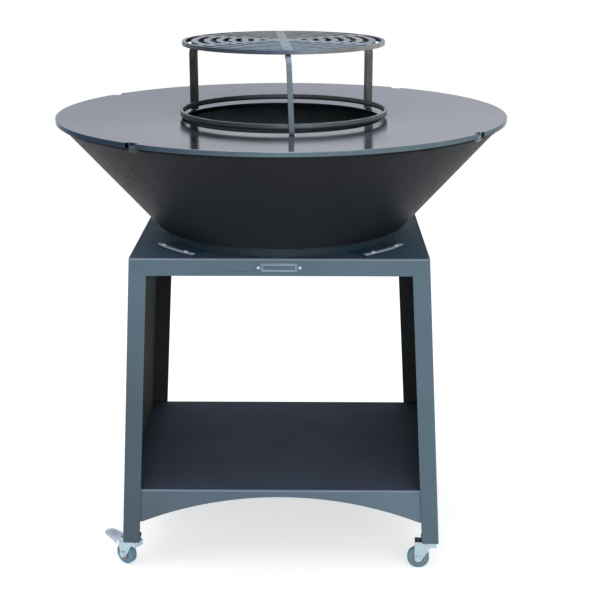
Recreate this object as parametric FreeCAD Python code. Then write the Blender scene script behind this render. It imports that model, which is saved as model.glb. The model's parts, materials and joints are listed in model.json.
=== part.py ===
import FreeCAD, Part
import math
import os

from FreeCAD import Placement, Rotation, Vector

# Plancha brazier in millimetres: +Z up, front towards -Y, origin on the floor under the bowl's axis.

# Castors
wheel_diameter = 50.0
tyre_width = 18.0
tyre_depth = 8.0
tyre_shoulder = 4.0
hub_overhang = 1.0
hub_boss_diameter = 16.0
bush_diameter = 12.0
hub_web_thickness = 12.0
hub_rim_wall = 3.0
axle_diameter = 8.0
axle_head_across_flats = 13.0
axle_head_height = 4.0
castor_trail = 23.0
castor_head_height = 20.0
race_diameter = 34.0
race_thickness = 3.0
kingpin_diameter = 10.0
kingpin_head_diameter = 16.0
kingpin_head_height = 3.5
kingpin_spare = 3.0
castor_nut_across_flats = 17.0
castor_nut_height = 8.0
fork_sheet = 2.5
fork_crown_diameter = 36.0
fork_front = 18.0
fork_skirt = 13.0
fork_strap_front = 11.0
fork_back_overrun = 9.0
fork_eye_radius = 9.0
castor_pad_width = 34.0
castor_pad_depth = 44.0
castor_pad_thickness = 4.0
castor_pad_corner = 5.0

# Castor brakes
pedal_travel = 22.0
pedal_raise = 6.0
pedal_length = 55.0
pedal_sheet = 2.5
pedal_width = 32.0
pedal_neck = 8.0
pedal_flange = 9.0
brake_pin_diameter = 5.0
brake_pin_head_diameter = 9.0
brake_pin_head_height = 1.5
brake_pin_lean = 16.0
brake_ear_radius = 6.0
cam_radius = 5.0
cam_throw = 1.9
shoe_clearance = 0.4

# Stand of folded sheet
stand_height = 666.0
stand_width = 635.0
stand_depth = 540.0
side_splay = 3.4
stand_sheet = 3.0
bend_inside = 1.0
folded_edge = 38.0
leg_side_width = 60.0
air_opening_diameter = 300.0

# Shelf with arched aprons
shelf_drop = 536.0
apron_end_depth = 78.5
apron_middle_depth = 17.0

# Bowl and the collar that carries it
collar_diameter = 520.0
collar_height = 25.0
collar_wall = 4.0
bowl_floor_diameter = 568.0
bowl_height = 232.5
bowl_wall = 3.0
floor_sheet = 4.0
floor_hole_diameter = 22.0
floor_hole_count = 8
floor_hole_circle = 300.0
rim_ring_width = 20.0
rim_ring_thickness = 5.0

# Fire grate in the bowl
grate_lift = 24.0
grate_thickness = 6.0
grate_slot_width = 14.0
grate_slot_pitch = 30.0
grate_border = 26.0

# Foot tabs, hold-down strips and their screws
tab_angle = 47.0
tab_spread = 23.3
tab_reach = 56.5
tab_thickness = 4.0
strip_width = 9.0
strip_spread = 22.5
strip_thickness = 2.5
strip_outset = 50.0
screw_diameter = 5.0
screw_spread = 14.2
screw_head_diameter = 9.5
screw_head_height = 2.8
nut_across_flats = 8.0
nut_height = 4.7

# Plancha plate and the lugs that keep it from turning
plate_diameter = 1000.0
plate_overhang = 10.0
plate_thickness = 10.0
plate_dish = 12.0
plate_edge = 1.0
hole_diameter = 446.0
notch_angle = -34.5
notch_count = 4
notch_side_play = 5.0
notch_end_play = 1.5
notch_corner = 6.0
lug_width = 18.0
lug_thickness = 4.5
lug_height = 5.0
lug_drop = 7.0

# Riser and cooking grid
riser_height = 169.3
riser_turn = 3.8
riser_shift = 4.7
leg_count = 3
leg_width = 11.0
leg_depth = 17.0
leg_setback = 2.0
leg_bend = 34.0
leg_crook = 18.0
front_leg_lean = 2.2
arm_length = 70.0
arm_depth = 13.0
foot_chamfer = 3.0
base_ring_bar = 6.0
base_ring_height = 12.0
base_ring_lift = 7.0
grid_diameter = 447.0
grid_thickness = 9.0
grid_rim = 8.0
grid_gap = 12.5
grid_bar = 14.8
grid_gap_count = 7
grid_bridge_width = 20.0
grid_bridge_count = 3

# Name plate, left bare
name_plate_width = 100.0
name_plate_height = 21.0
name_plate_thickness = 1.0
rivet_spread = 88.0
rivet_diameter = 4.0
rivet_head_diameter = 8.5
rivet_head_height = 2.2

# Fits
weld_gap = 0.2
seat_gap = 0.2
slip_gap = 0.3
running_fit = 0.05
screw_clearance = 0.3

# Castor places: name, side in X, side in Y, heading of the trailing wheel in degrees, braked
castor_places = [
    ("front_left", -1, -1, 142.0, True),
    ("front_right", 1, -1, 176.0, False),
    ("rear_left", -1, 1, 35.0, False),
    ("rear_right", 1, 1, 70.0, True),
]

# Levels and radii that several pieces share
splay = math.radians(side_splay)
castor_height = wheel_diameter + castor_head_height
stand_top_z = castor_height + stand_height
shelf_z = stand_top_z - shelf_drop
collar_radius = collar_diameter / 2
bowl_floor_z = stand_top_z + collar_height
bowl_floor_radius = bowl_floor_diameter / 2
plate_radius = plate_diameter / 2
bowl_rim_radius = plate_radius - plate_overhang
bowl_rim_z = bowl_floor_z + bowl_height
bowl_slope = (bowl_rim_radius - bowl_floor_radius) / bowl_height
bowl_wall_across = bowl_wall * math.hypot(1, bowl_slope)
seat_radius = bowl_rim_radius - rim_ring_width
notch_width = lug_width + 2 * notch_side_play
notch_depth = plate_overhang - weld_gap + notch_end_play
hole_radius = hole_diameter / 2
dish_slope = plate_dish / (plate_radius - hole_radius)
plate_rim_z = bowl_rim_z + seat_gap + plate_thickness + dish_slope * (plate_radius - seat_radius)
leg_inner_radius = hole_radius + leg_setback
leg_outer_radius = leg_inner_radius + leg_depth
foot_reach = leg_outer_radius - foot_chamfer + riser_shift
leg_foot_z = plate_rim_z - dish_slope * (plate_radius - foot_reach) + seat_gap
base_ring_z = leg_foot_z + base_ring_lift
grid_radius = grid_diameter / 2
grid_under_z = leg_foot_z + riser_height - grid_thickness
strip_radius = collar_radius + strip_outset
tab_corners = [tab_angle, 180 - tab_angle, 180 + tab_angle, 360 - tab_angle]
screw_hole_diameter = screw_diameter + 2 * screw_clearance
kingpin_hole_diameter = kingpin_diameter + 2 * running_fit
axle_hole_diameter = axle_diameter + 2 * running_fit
brake_pin_hole_diameter = brake_pin_diameter + 2 * running_fit
rivet_hole_diameter = rivet_diameter + 2 * running_fit
pad_half_width = castor_pad_width / 2
pad_half_depth = castor_pad_depth / 2
axle_z = wheel_diameter / 2
fork_top_z = castor_height - race_thickness - slip_gap
fork_back = castor_trail + fork_back_overrun
hub_half = tyre_width / 2 + hub_overhang
fork_inside = hub_half + slip_gap
fork_outside = fork_inside + fork_sheet
lean = math.radians(brake_pin_lean)
pin_to_axle = wheel_diameter / 2 + shoe_clearance + cam_radius + cam_throw
brake_pin_x = castor_trail + pin_to_axle * math.sin(lean)
brake_pin_z = axle_z + pin_to_axle * math.cos(lean)


# Shapes that several pieces use

def save(name, shape):
    shape.exportStep("parts/" + name + ".step")


def line(start, end):
    return Part.LineSegment(start, end).toShape()


def arc(start, middle, end):
    return Part.Arc(start, middle, end).toShape()


def polygon(corners):
    return Part.Face(Part.makePolygon(corners + corners[:1]))


def rod(diameter, length, z=0.0, place=Vector(0, 0, 0)):
    return Part.makeCylinder(diameter / 2, length, place + Vector(0, 0, z))


def tube(outer_radius, inner_radius, height, z):
    outer = Part.makeCylinder(outer_radius, height, Vector(0, 0, z))
    return outer.cut(Part.makeCylinder(inner_radius, height, Vector(0, 0, z)))


def turned(points):
    """A solid of revolution about Z from (radius, height) points."""
    face = polygon([Vector(r, 0, z) for r, z in points])
    return face.revolve(Vector(0, 0, 0), Vector(0, 0, 1), 360)


def hexagon(across_flats, height, z):
    radius = across_flats / math.sqrt(3)
    turns = [math.radians(60 * i) for i in range(6)]
    corners = [Vector(radius * math.cos(t), radius * math.sin(t), z) for t in turns]
    return polygon(corners).extrude(Vector(0, 0, height))


def domed_pin(head_diameter, head_height, shank_diameter, shank_length):
    """A round-headed pin along Z whose head sits on z = 0."""
    dome = (head_diameter ** 2 / 4 + head_height ** 2) / (2 * head_height)
    ball = Part.makeSphere(dome, Vector(0, 0, head_height - dome))
    head = ball.common(rod(2 * dome, head_height))
    return head.fuse(rod(shank_diameter, shank_length, -shank_length)).removeSplitter()


def turn_z(shape, degrees):
    """A copy turned about the vertical axis, which carries the front towards +X."""
    copy = shape.copy()
    copy.rotate(Vector(0, 0, 0), Vector(0, 0, 1), degrees)
    return copy


def lie_along_y(shape):
    """A copy of a shape made about Z, laid along Y."""
    copy = shape.copy()
    copy.rotate(Vector(0, 0, 0), Vector(1, 0, 0), -90)
    return copy


def polar(radius, degrees):
    """A point at a radius, at an angle from the front counted towards +X."""
    turn = math.radians(degrees)
    return Vector(radius * math.sin(turn), -radius * math.cos(turn), 0)


# Folded sheet

def fold(centre_x, centre_y, radius, start, end):
    """An arc in XY from one angle to another, in degrees."""
    points = []
    for degrees in (start, (start + end) / 2, end):
        turn = math.radians(degrees)
        points.append(Vector(centre_x + radius * math.cos(turn), centre_y + radius * math.sin(turn), 0))
    return arc(*points)


def channel(depth, edge, length):
    """A folded channel along Z: its web's outer face is at x = 0 and its edges turn towards -X."""
    outside = bend_inside + stand_sheet
    half, inner_half = depth / 2, depth / 2 - stand_sheet
    bend_x, bend_y = -outside, depth / 2 - outside
    edges = [
        line(Vector(-edge, -half), Vector(bend_x, -half)),
        fold(bend_x, -bend_y, outside, -90, 0),
        line(Vector(0, -bend_y), Vector(0, bend_y)),
        fold(bend_x, bend_y, outside, 0, 90),
        line(Vector(bend_x, half), Vector(-edge, half)),
        line(Vector(-edge, half), Vector(-edge, inner_half)),
        line(Vector(-edge, inner_half), Vector(bend_x, inner_half)),
        fold(bend_x, bend_y, bend_inside, 90, 0),
        line(Vector(-stand_sheet, bend_y), Vector(-stand_sheet, -bend_y)),
        fold(bend_x, -bend_y, bend_inside, 0, -90),
        line(Vector(bend_x, -inner_half), Vector(-edge, -inner_half)),
        line(Vector(-edge, -inner_half), Vector(-edge, -half)),
    ]
    return Part.Face(Part.Wire(edges)).extrude(Vector(0, 0, length))


def lying_channel(depth, edge, half_length, z):
    """A folded channel along X with its web on top at a height."""
    piece = channel(depth, edge, 2 * half_length)
    turn = Rotation(Vector(0, 0, 1), Vector(0, -1, 0), Vector(1, 0, 0), "XYZ")
    piece.Placement = Placement(Vector(-half_length, 0, z), turn)
    return piece


def prism_along_y(points):
    """A prism through the whole stand from (x, z) points."""
    face = polygon([Vector(x, -stand_depth, z) for x, z in points])
    return face.extrude(Vector(0, 2 * stand_depth, 0))


def mitre_points():
    """The two ends of the mitre line at the stand's right top corner, as (x, z)."""
    inward, down = math.sin(splay) - 1, -math.cos(splay)
    step = folded_edge / math.hypot(inward, down)
    corner_x = stand_width / 2
    outer = (corner_x - step * inward, stand_top_z - step * down)
    inner = (corner_x + 3 * step * inward, stand_top_z + 3 * step * down)
    return outer, inner


def arch(half_span):
    """A prism along Y that clears the space under an arch, down to the floor."""
    end_z, middle_z = shelf_z - apron_end_depth, shelf_z - apron_middle_depth
    reach = stand_width + stand_depth
    left, right = Vector(-half_span, -reach, end_z), Vector(half_span, -reach, end_z)
    low_left, low_right = Vector(-half_span, -reach, 0), Vector(half_span, -reach, 0)
    edges = [
        arc(left, Vector(0, -reach, middle_z), right),
        line(right, low_right),
        line(low_right, low_left),
        line(low_left, left),
    ]
    return Part.Face(Part.Wire(edges)).extrude(Vector(0, 2 * reach, 0))


# Stand

def outer_half_width(z):
    """Half the stand's outside width at a height."""
    return stand_width / 2 + (stand_top_z - z) * math.tan(splay)


def inner_half_width(z):
    """Half the clear width between the side panels at a height."""
    return outer_half_width(z) - stand_sheet / math.cos(splay)


def make_stand_top():
    outer, inner = mitre_points()
    keep = [outer, inner, (-inner[0], inner[1]), (-outer[0], outer[1])]
    piece = lying_channel(stand_depth, folded_edge, stand_width / 2, stand_top_z)
    piece = piece.common(prism_along_y(keep))
    under = stand_top_z - stand_sheet
    piece = piece.cut(rod(air_opening_diameter, stand_sheet, under))
    for centre in screw_centres():
        piece = piece.cut(rod(screw_hole_diameter, stand_sheet, under, centre))
    return piece.cut(rivet_holes())


def make_right_side():
    """A side panel: its web, its front and rear folded edges, and the arch between its two feet."""
    along = Vector(math.sin(splay), 0, -math.cos(splay))
    outward = Vector(math.cos(splay), 0, math.sin(splay))
    outer, inner = mitre_points()
    piece = channel(stand_depth, folded_edge, stand_height / math.cos(splay) + 4 * folded_edge)
    start = Vector(stand_width / 2, 0, stand_top_z) - along * 2 * folded_edge
    piece.Placement = Placement(start, Rotation(outward, Vector(0, -1, 0), along, "XYZ"))
    far = stand_width + stand_height
    keep = [outer, inner, (0, inner[1]), (0, castor_height), (far, castor_height), (far, outer[1])]
    piece = piece.common(prism_along_y(keep))
    return piece.cut(turn_z(arch(stand_depth / 2 - leg_side_width), 90))


def make_shelf():
    depth = stand_depth - 2 * (stand_sheet + weld_gap)
    piece = lying_channel(depth, apron_end_depth, inner_half_width(shelf_z) - weld_gap, shelf_z)
    return piece.cut(arch(outer_half_width(shelf_z) - folded_edge))


# Name plate

def rivet_places():
    z = stand_top_z - folded_edge / 2
    return [Vector(side * rivet_spread / 2, -stand_depth / 2, z) for side in (-1, 1)]


def rivet_holes():
    holes = []
    depth = name_plate_thickness + stand_sheet
    for place in rivet_places():
        hole = lie_along_y(rod(rivet_hole_diameter, depth))
        hole.translate(place - Vector(0, name_plate_thickness, 0))
        holes.append(hole)
    return Part.makeCompound(holes)


def make_name_plate():
    z = stand_top_z - (folded_edge + name_plate_height) / 2
    corner = Vector(-name_plate_width / 2, -stand_depth / 2 - name_plate_thickness, z)
    plate = Part.makeBox(name_plate_width, name_plate_thickness, name_plate_height, corner)
    return plate.cut(rivet_holes())


def make_rivets():
    rivets = []
    for place in rivet_places():
        rivet = domed_pin(rivet_head_diameter, rivet_head_height, rivet_diameter,
                          name_plate_thickness + stand_sheet)
        rivet.rotate(Vector(0, 0, 0), Vector(1, 0, 0), 90)
        rivet.translate(place - Vector(0, name_plate_thickness, 0))
        rivets.append(rivet)
    return Part.makeCompound(rivets)


# Bowl

def bowl_outside(z):
    """Outside radius of the bowl at a height."""
    return bowl_floor_radius + bowl_slope * (z - bowl_floor_z)


def bowl_inside(z):
    """Inside radius of the bowl at a height."""
    return bowl_outside(z) - bowl_wall_across


def make_bowl_cone():
    low, high = bowl_floor_z, bowl_rim_z - rim_ring_thickness
    return turned([(bowl_inside(low), low), (bowl_outside(low), low),
                   (bowl_outside(high), high), (bowl_inside(high), high)])


def make_rim_ring():
    return tube(bowl_rim_radius, seat_radius, rim_ring_thickness, bowl_rim_z - rim_ring_thickness)


def make_bowl_floor():
    piece = rod(2 * (bowl_inside(bowl_floor_z) - weld_gap), floor_sheet, bowl_floor_z)
    for i in range(floor_hole_count):
        centre = polar(floor_hole_circle / 2, 360 * i / floor_hole_count)
        piece = piece.cut(rod(floor_hole_diameter, floor_sheet, bowl_floor_z, centre))
    return piece


def make_collar():
    return tube(collar_radius, collar_radius - collar_wall, collar_height, stand_top_z)


def make_fire_grate():
    """A slotted disc that lies in the cone just above the floor."""
    z = bowl_floor_z + grate_lift
    radius = bowl_inside(z) - slip_gap
    piece = rod(2 * radius, grate_thickness, z)
    slotted = radius - grate_border
    count = int((slotted - grate_slot_width) / grate_slot_pitch)
    for i in range(-count, count + 1):
        x = i * grate_slot_pitch
        half = math.sqrt(slotted ** 2 - x ** 2)
        corner = Vector(x - grate_slot_width / 2, -half, z)
        piece = piece.cut(Part.makeBox(grate_slot_width, 2 * half, grate_thickness, corner))
    return piece


# Feet of the bowl

def screw_centres():
    return [polar(strip_radius, corner + side * screw_spread / 2)
            for corner in tab_corners for side in (-1, 1)]


def arc_plates(outer_radius, inner_radius, spread, thickness, z):
    """Arc-shaped plates at the four tab corners, drilled for their screws."""
    outer = Part.makeCylinder(outer_radius, thickness, Vector(0, 0, z), Vector(0, 0, 1), spread)
    inner = Part.makeCylinder(inner_radius, thickness, Vector(0, 0, z), Vector(0, 0, 1), spread)
    plate = turn_z(outer.cut(inner), -90 - spread / 2)
    for side in (-1, 1):
        centre = polar(strip_radius, side * screw_spread / 2)
        plate = plate.cut(rod(screw_hole_diameter, thickness, z, centre))
    return Part.makeCompound([turn_z(plate, corner) for corner in tab_corners])


def make_foot_tabs():
    inner = collar_radius + weld_gap
    return arc_plates(collar_radius + tab_reach, inner, tab_spread, tab_thickness, stand_top_z)


def make_hold_down_strips():
    inner = strip_radius - strip_width / 2
    return arc_plates(inner + strip_width, inner, strip_spread, strip_thickness, stand_top_z + tab_thickness)


def make_strip_screws():
    """Round-headed screws down through strip, tab, stand top and nut."""
    screws = []
    seat = stand_top_z + tab_thickness + strip_thickness
    length = seat - stand_top_z + stand_sheet + nut_height
    for centre in screw_centres():
        screw = domed_pin(screw_head_diameter, screw_head_height, screw_diameter, length)
        screw.translate(centre + Vector(0, 0, seat))
        screws.append(screw)
    return Part.makeCompound(screws)


def make_strip_nuts():
    z = stand_top_z - stand_sheet - nut_height
    nut = hexagon(nut_across_flats, nut_height, z).cut(rod(screw_diameter + 2 * running_fit, nut_height, z))
    return Part.makeCompound([nut.translated(centre) for centre in screw_centres()])


# Plancha

def plate_top(radius):
    """Height of the plancha's cooking face at a radius."""
    return plate_rim_z - dish_slope * (plate_radius - radius)


def notch_angles():
    return [notch_angle + 360 * i / notch_count for i in range(notch_count)]


def make_notch():
    """The cutter for one notch at the front of the rim, with rounded inner corners."""
    low, tall = plate_rim_z - plate_thickness - plate_dish, plate_thickness + 2 * plate_dish
    half, end = notch_width / 2, notch_depth - plate_radius
    flat, mouth = half - notch_corner, end - notch_depth
    cutter = Part.makeBox(2 * flat, notch_depth, tall, Vector(-flat, mouth, low))
    wide = Part.makeBox(notch_width, notch_depth, tall, Vector(-half, mouth - notch_corner, low))
    cutter = cutter.fuse(wide)
    for side in (-1, 1):
        cutter = cutter.fuse(rod(2 * notch_corner, tall, low, Vector(side * flat, end - notch_corner, 0)))
    return cutter


def make_plancha_plate():
    """The cooking plate: dished towards its hole, with notches in its rim."""
    rim_under = plate_rim_z - plate_thickness
    edge_radius = plate_radius - plate_edge
    piece = turned([(hole_radius, plate_top(hole_radius) - plate_thickness), (plate_radius, rim_under),
                    (plate_radius, plate_rim_z - plate_edge), (edge_radius, plate_top(edge_radius)),
                    (hole_radius, plate_top(hole_radius))])
    notch = make_notch()
    for angle in notch_angles():
        piece = piece.cut(turn_z(notch, angle))
    return piece


def make_plancha_lugs():
    """Upright lugs on the outside of the bowl's rim that stand in the plate's notches."""
    outside = bowl_rim_radius + weld_gap + lug_thickness
    corner = Vector(-lug_width / 2, -outside, bowl_rim_z - lug_drop)
    lug = Part.makeBox(lug_width, lug_thickness, lug_drop + lug_height, corner)
    return Part.makeCompound([turn_z(lug, angle) for angle in notch_angles()])


# Riser and grid, made about the hole's axis and then set down a little beside it

def set_down(piece):
    return piece.translated(Vector(riser_shift, 0, 0))


def make_base_ring():
    return tube(leg_inner_radius + base_ring_bar, leg_inner_radius, base_ring_height, base_ring_z)


def make_riser_leg(angle, lean):
    """One bent leg: a foot on the plate, a bend, and an arm under the grid, notched for the base ring.

    A lean carries its foot sideways and leaves the arm's top level.
    """
    outer, inner, tip = -leg_outer_radius, -leg_inner_radius, arm_length - leg_outer_radius
    top, arm_under, low = grid_under_z, grid_under_z - arm_depth, leg_foot_z
    bow, crook = leg_bend * (1 - math.sqrt(0.5)), leg_crook * (1 - math.sqrt(0.5))
    points = [
        Vector(0, outer, low + foot_chamfer),
        Vector(0, outer, top - leg_bend),
        Vector(0, outer + leg_bend, top),
        Vector(0, tip, top),
        Vector(0, tip, arm_under),
        Vector(0, inner + leg_crook, arm_under),
        Vector(0, inner, arm_under - leg_crook),
        Vector(0, inner, low + foot_chamfer),
        Vector(0, inner - foot_chamfer, low),
        Vector(0, outer + foot_chamfer, low),
    ]
    edges = [line(start, end) for start, end in zip(points, points[1:] + points[:1])]
    edges[1] = arc(points[1], Vector(0, outer + bow, top - bow), points[2])
    edges[5] = arc(points[5], Vector(0, inner + crook, arm_under - crook), points[6])
    piece = Part.Face(Part.Wire(edges)).extrude(Vector(leg_width, 0, 0))
    piece.rotate(Vector(0, 0, top), Vector(0, 1, 0), -lean)
    piece.translate(Vector(-leg_width / 2, 0, 0))
    piece = piece.common(rod(2 * plate_diameter, top - low, low))
    notch = tube(leg_inner_radius + base_ring_bar + weld_gap, leg_inner_radius - base_ring_bar,
                 base_ring_height + 2 * weld_gap, base_ring_z - weld_gap)
    return turn_z(piece.cut(notch), angle)


def make_grid():
    """The cooking grid: flat rings joined by bridges, cut from one disc."""
    piece = rod(grid_diameter, grid_thickness, grid_under_z)
    corner = Vector(-grid_bridge_width / 2, -grid_diameter, grid_under_z)
    bar = Part.makeBox(grid_bridge_width, 2 * grid_diameter, grid_thickness, corner)
    bridges = [turn_z(bar, riser_turn + 180 * i / grid_bridge_count) for i in range(grid_bridge_count)]
    for i in range(grid_gap_count):
        outer = grid_radius - grid_rim - i * (grid_gap + grid_bar)
        piece = piece.cut(tube(outer, outer - grid_gap, grid_thickness, grid_under_z).cut(bridges))
    return piece


# Castors, each made with its wheel trailing along +X and then turned to its heading

def castor_centre(side_x, side_y):
    """The swivel axis of a castor, in the middle of its pad."""
    x = inner_half_width(castor_height + castor_pad_thickness) - weld_gap - pad_half_width
    y = stand_depth / 2 - stand_sheet - weld_gap - pad_half_depth
    return Vector(side_x * x, side_y * y, 0)


def at_castors(piece):
    """Copies of a piece at the four swivel axes."""
    return Part.makeCompound([piece.translated(castor_centre(place[1], place[2])) for place in castor_places])


def make_castor_pad():
    wide, deep = pad_half_width, pad_half_depth
    cut_x, cut_y = wide - castor_pad_corner, deep - castor_pad_corner
    outline = [(-wide, -cut_y), (-cut_x, -deep), (cut_x, -deep), (wide, -cut_y),
               (wide, cut_y), (cut_x, deep), (-cut_x, deep), (-wide, cut_y)]
    face = polygon([Vector(x, y, castor_height) for x, y in outline])
    pad = face.extrude(Vector(0, 0, castor_pad_thickness))
    return pad.cut(rod(kingpin_hole_diameter, castor_pad_thickness, castor_height))


def make_castor_nut():
    z = castor_height + castor_pad_thickness
    nut = hexagon(castor_nut_across_flats, castor_nut_height, z)
    return nut.cut(rod(kingpin_hole_diameter, castor_nut_height, z))


def make_kingpin():
    """The fixed pin that the fork turns on, from its lower head up through the pad."""
    head_top = fork_top_z - fork_sheet - slip_gap
    top = castor_height + castor_pad_thickness + castor_nut_height + kingpin_spare
    head = rod(kingpin_head_diameter, kingpin_head_height, head_top - kingpin_head_height)
    return head.fuse(rod(kingpin_diameter, top - head_top, head_top)).removeSplitter()


def make_race():
    """The fixed bearing race under the pad, with a chamfered lower edge."""
    low, middle = castor_height - race_thickness, castor_height - race_thickness / 2
    bore, outer = kingpin_hole_diameter / 2, race_diameter / 2
    return turned([(bore, low), (outer - race_thickness / 2, low), (outer, middle),
                   (outer, castor_height), (bore, castor_height)])


def tangent_point(point, centre, radius, side):
    """Where a line in XZ from a point touches a circle, on one side of it."""
    away = point - centre
    turn = math.atan2(away.z, away.x) + side * math.acos(radius / away.Length)
    return centre + Vector(radius * math.cos(turn), 0, radius * math.sin(turn))


def strap(start, end, centre, radius):
    """A face in XZ: a straight top edge drawn down to a round eye."""
    right, left = tangent_point(end, centre, radius, -1), tangent_point(start, centre, radius, 1)
    down = (centre * 2 - start - end).normalize()
    edges = [line(start, end), line(end, right), arc(right, centre + down * radius, left), line(left, start)]
    return Part.Face(Part.Wire(edges))


def across(diameter, half_length, x, z):
    """A round bar along Y."""
    return lie_along_y(rod(diameter, 2 * half_length, -half_length)).translated(Vector(x, 0, z))


def make_fork(braked):
    """The pressed fork: a crown, a skirted roof and two cheeks, with ears for a brake pin."""
    roof_z, skirt_z = fork_top_z - fork_sheet, fork_top_z - fork_skirt
    length, corner = fork_front + fork_back, Vector(-fork_front, -fork_outside, skirt_z)
    shell = Part.makeBox(length, 2 * fork_outside, fork_skirt, corner)
    corner = Vector(fork_sheet - fork_front, -fork_inside, skirt_z)
    hollow = Part.makeBox(length, 2 * fork_inside, fork_skirt - fork_sheet, corner)
    piece = shell.cut(hollow).fuse(rod(fork_crown_diameter, fork_sheet, roof_z))
    front, middle, back = [Vector(x, 0, fork_top_z) for x in (-fork_strap_front, 0, fork_back)]
    axle, pin = Vector(castor_trail, 0, axle_z), Vector(brake_pin_x, 0, brake_pin_z)
    cheeks = [strap(front, back, axle, fork_eye_radius)]
    if braked:
        ear = Vector(brake_ear_radius, 0, 0)
        cheeks.append(strap(middle, back, pin, brake_ear_radius))
        cheeks.append(strap(pin - ear, pin + ear, axle, fork_eye_radius))
    for cheek in cheeks:
        for y in (fork_inside, -fork_outside):
            piece = piece.fuse(cheek.extrude(Vector(0, fork_sheet, 0)).translated(Vector(0, y, 0)))
    piece = piece.cut(rod(kingpin_hole_diameter, fork_sheet, roof_z))
    piece = piece.cut(across(axle_hole_diameter, fork_outside, castor_trail, axle_z))
    if braked:
        piece = piece.cut(across(brake_pin_hole_diameter, fork_outside, brake_pin_x, brake_pin_z))
    return piece.removeSplitter()


def make_axle():
    """The wheel bolt with its head and locknut against the cheeks."""
    piece = across(axle_diameter, fork_outside, castor_trail, axle_z)
    for y in (fork_outside, -fork_outside - axle_head_height):
        head = lie_along_y(hexagon(axle_head_across_flats, axle_head_height, 0))
        piece = piece.fuse(head.translated(Vector(castor_trail, y, axle_z)))
    return piece.removeSplitter()


def wheel_place(piece):
    return lie_along_y(piece).translated(Vector(castor_trail, 0, axle_z))


def make_hub():
    bore, boss = bush_diameter / 2 + running_fit, hub_boss_diameter / 2
    outer = wheel_diameter / 2 - tyre_depth - weld_gap
    web, side = hub_web_thickness / 2, tyre_width / 2
    right = [(bore, hub_half), (boss, hub_half), (boss, web), (outer - hub_rim_wall, web),
             (outer - hub_rim_wall, side), (outer, side)]
    left = [(r, -y) for r, y in reversed(right)]
    return wheel_place(turned(right + left))


def make_bush():
    """The plain bush that the wheel turns on."""
    return wheel_place(tube(bush_diameter / 2, axle_hole_diameter / 2, 2 * hub_half, -hub_half))


def make_tyre():
    """A tyre with a flat tread and round shoulders."""
    outer, inner = wheel_diameter / 2, wheel_diameter / 2 - tyre_depth
    side, flat = tyre_width / 2, tyre_width / 2 - tyre_shoulder
    wall, bow = outer - tyre_shoulder, tyre_shoulder * (1 - math.sqrt(0.5))
    corners = [Vector(inner, 0, -side), Vector(wall, 0, -side), Vector(outer, 0, -flat),
               Vector(outer, 0, flat), Vector(wall, 0, side), Vector(inner, 0, side)]
    edges = [line(start, end) for start, end in zip(corners, corners[1:] + corners[:1])]
    edges[1] = arc(corners[1], Vector(outer - bow, 0, bow - side), corners[2])
    edges[3] = arc(corners[3], Vector(outer - bow, 0, side - bow), corners[4])
    face = Part.Face(Part.Wire(edges))
    return wheel_place(face.revolve(Vector(0, 0, 0), Vector(0, 0, 1), 360))


def make_brake_pin():
    piece = across(brake_pin_diameter, fork_outside, brake_pin_x, brake_pin_z)
    for side in (-1, 1):
        head = across(brake_pin_head_diameter, brake_pin_head_height / 2, brake_pin_x, brake_pin_z)
        piece = piece.fuse(head.translated(Vector(0, side * (fork_outside + brake_pin_head_height / 2), 0)))
    return piece.removeSplitter()


def make_brake_pedal():
    """The foot lever: a cam between the cheeks and a flanged plate that widens outside them."""
    wide, neck, sheet = pedal_width / 2, fork_inside - slip_gap, pedal_sheet
    tip, shoulder = pedal_length - wide, 2 * pedal_neck
    outline = [(0, -neck), (pedal_neck, -neck), (shoulder, -wide), (tip, -wide),
               (tip, wide), (shoulder, wide), (pedal_neck, neck), (0, neck)]
    blade = polygon([Vector(x, y, -sheet / 2) for x, y in outline]).extrude(Vector(0, 0, sheet))
    blade = blade.fuse(rod(pedal_width, sheet, -sheet / 2, Vector(tip, 0, 0)))
    side = [(pedal_neck, sheet / 2), (tip, sheet / 2), (tip, -sheet / 2), (pedal_neck, -pedal_flange)]
    for y in (-wide, wide - sheet):
        flange = polygon([Vector(x, y, z) for x, z in side])
        blade = blade.fuse(flange.extrude(Vector(0, sheet, 0)))
    blade.rotate(Vector(0, 0, 0), Vector(0, 1, 0), -pedal_raise)
    pressed = -math.pi / 2 - lean
    released = pressed + math.radians(pedal_travel)
    cam = across(2 * cam_radius, neck, cam_throw * math.cos(released), cam_throw * math.sin(released))
    sleeve = across(brake_pin_diameter + 2 * sheet, neck, 0, 0)
    piece = blade.fuse([cam, sleeve]).cut(across(brake_pin_hole_diameter, neck, 0, 0))
    return piece.removeSplitter().translated(Vector(brake_pin_x, 0, brake_pin_z))


def castor_pieces(braked):
    pieces = {
        "kingpin": make_kingpin(),
        "race": make_race(),
        "fork": make_fork(braked),
        "axle": make_axle(),
        "hub": make_hub(),
        "bush": make_bush(),
        "tyre": make_tyre(),
    }
    if braked:
        pieces["brake_pin"] = make_brake_pin()
        pieces["brake_pedal"] = make_brake_pedal()
    return pieces


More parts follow.
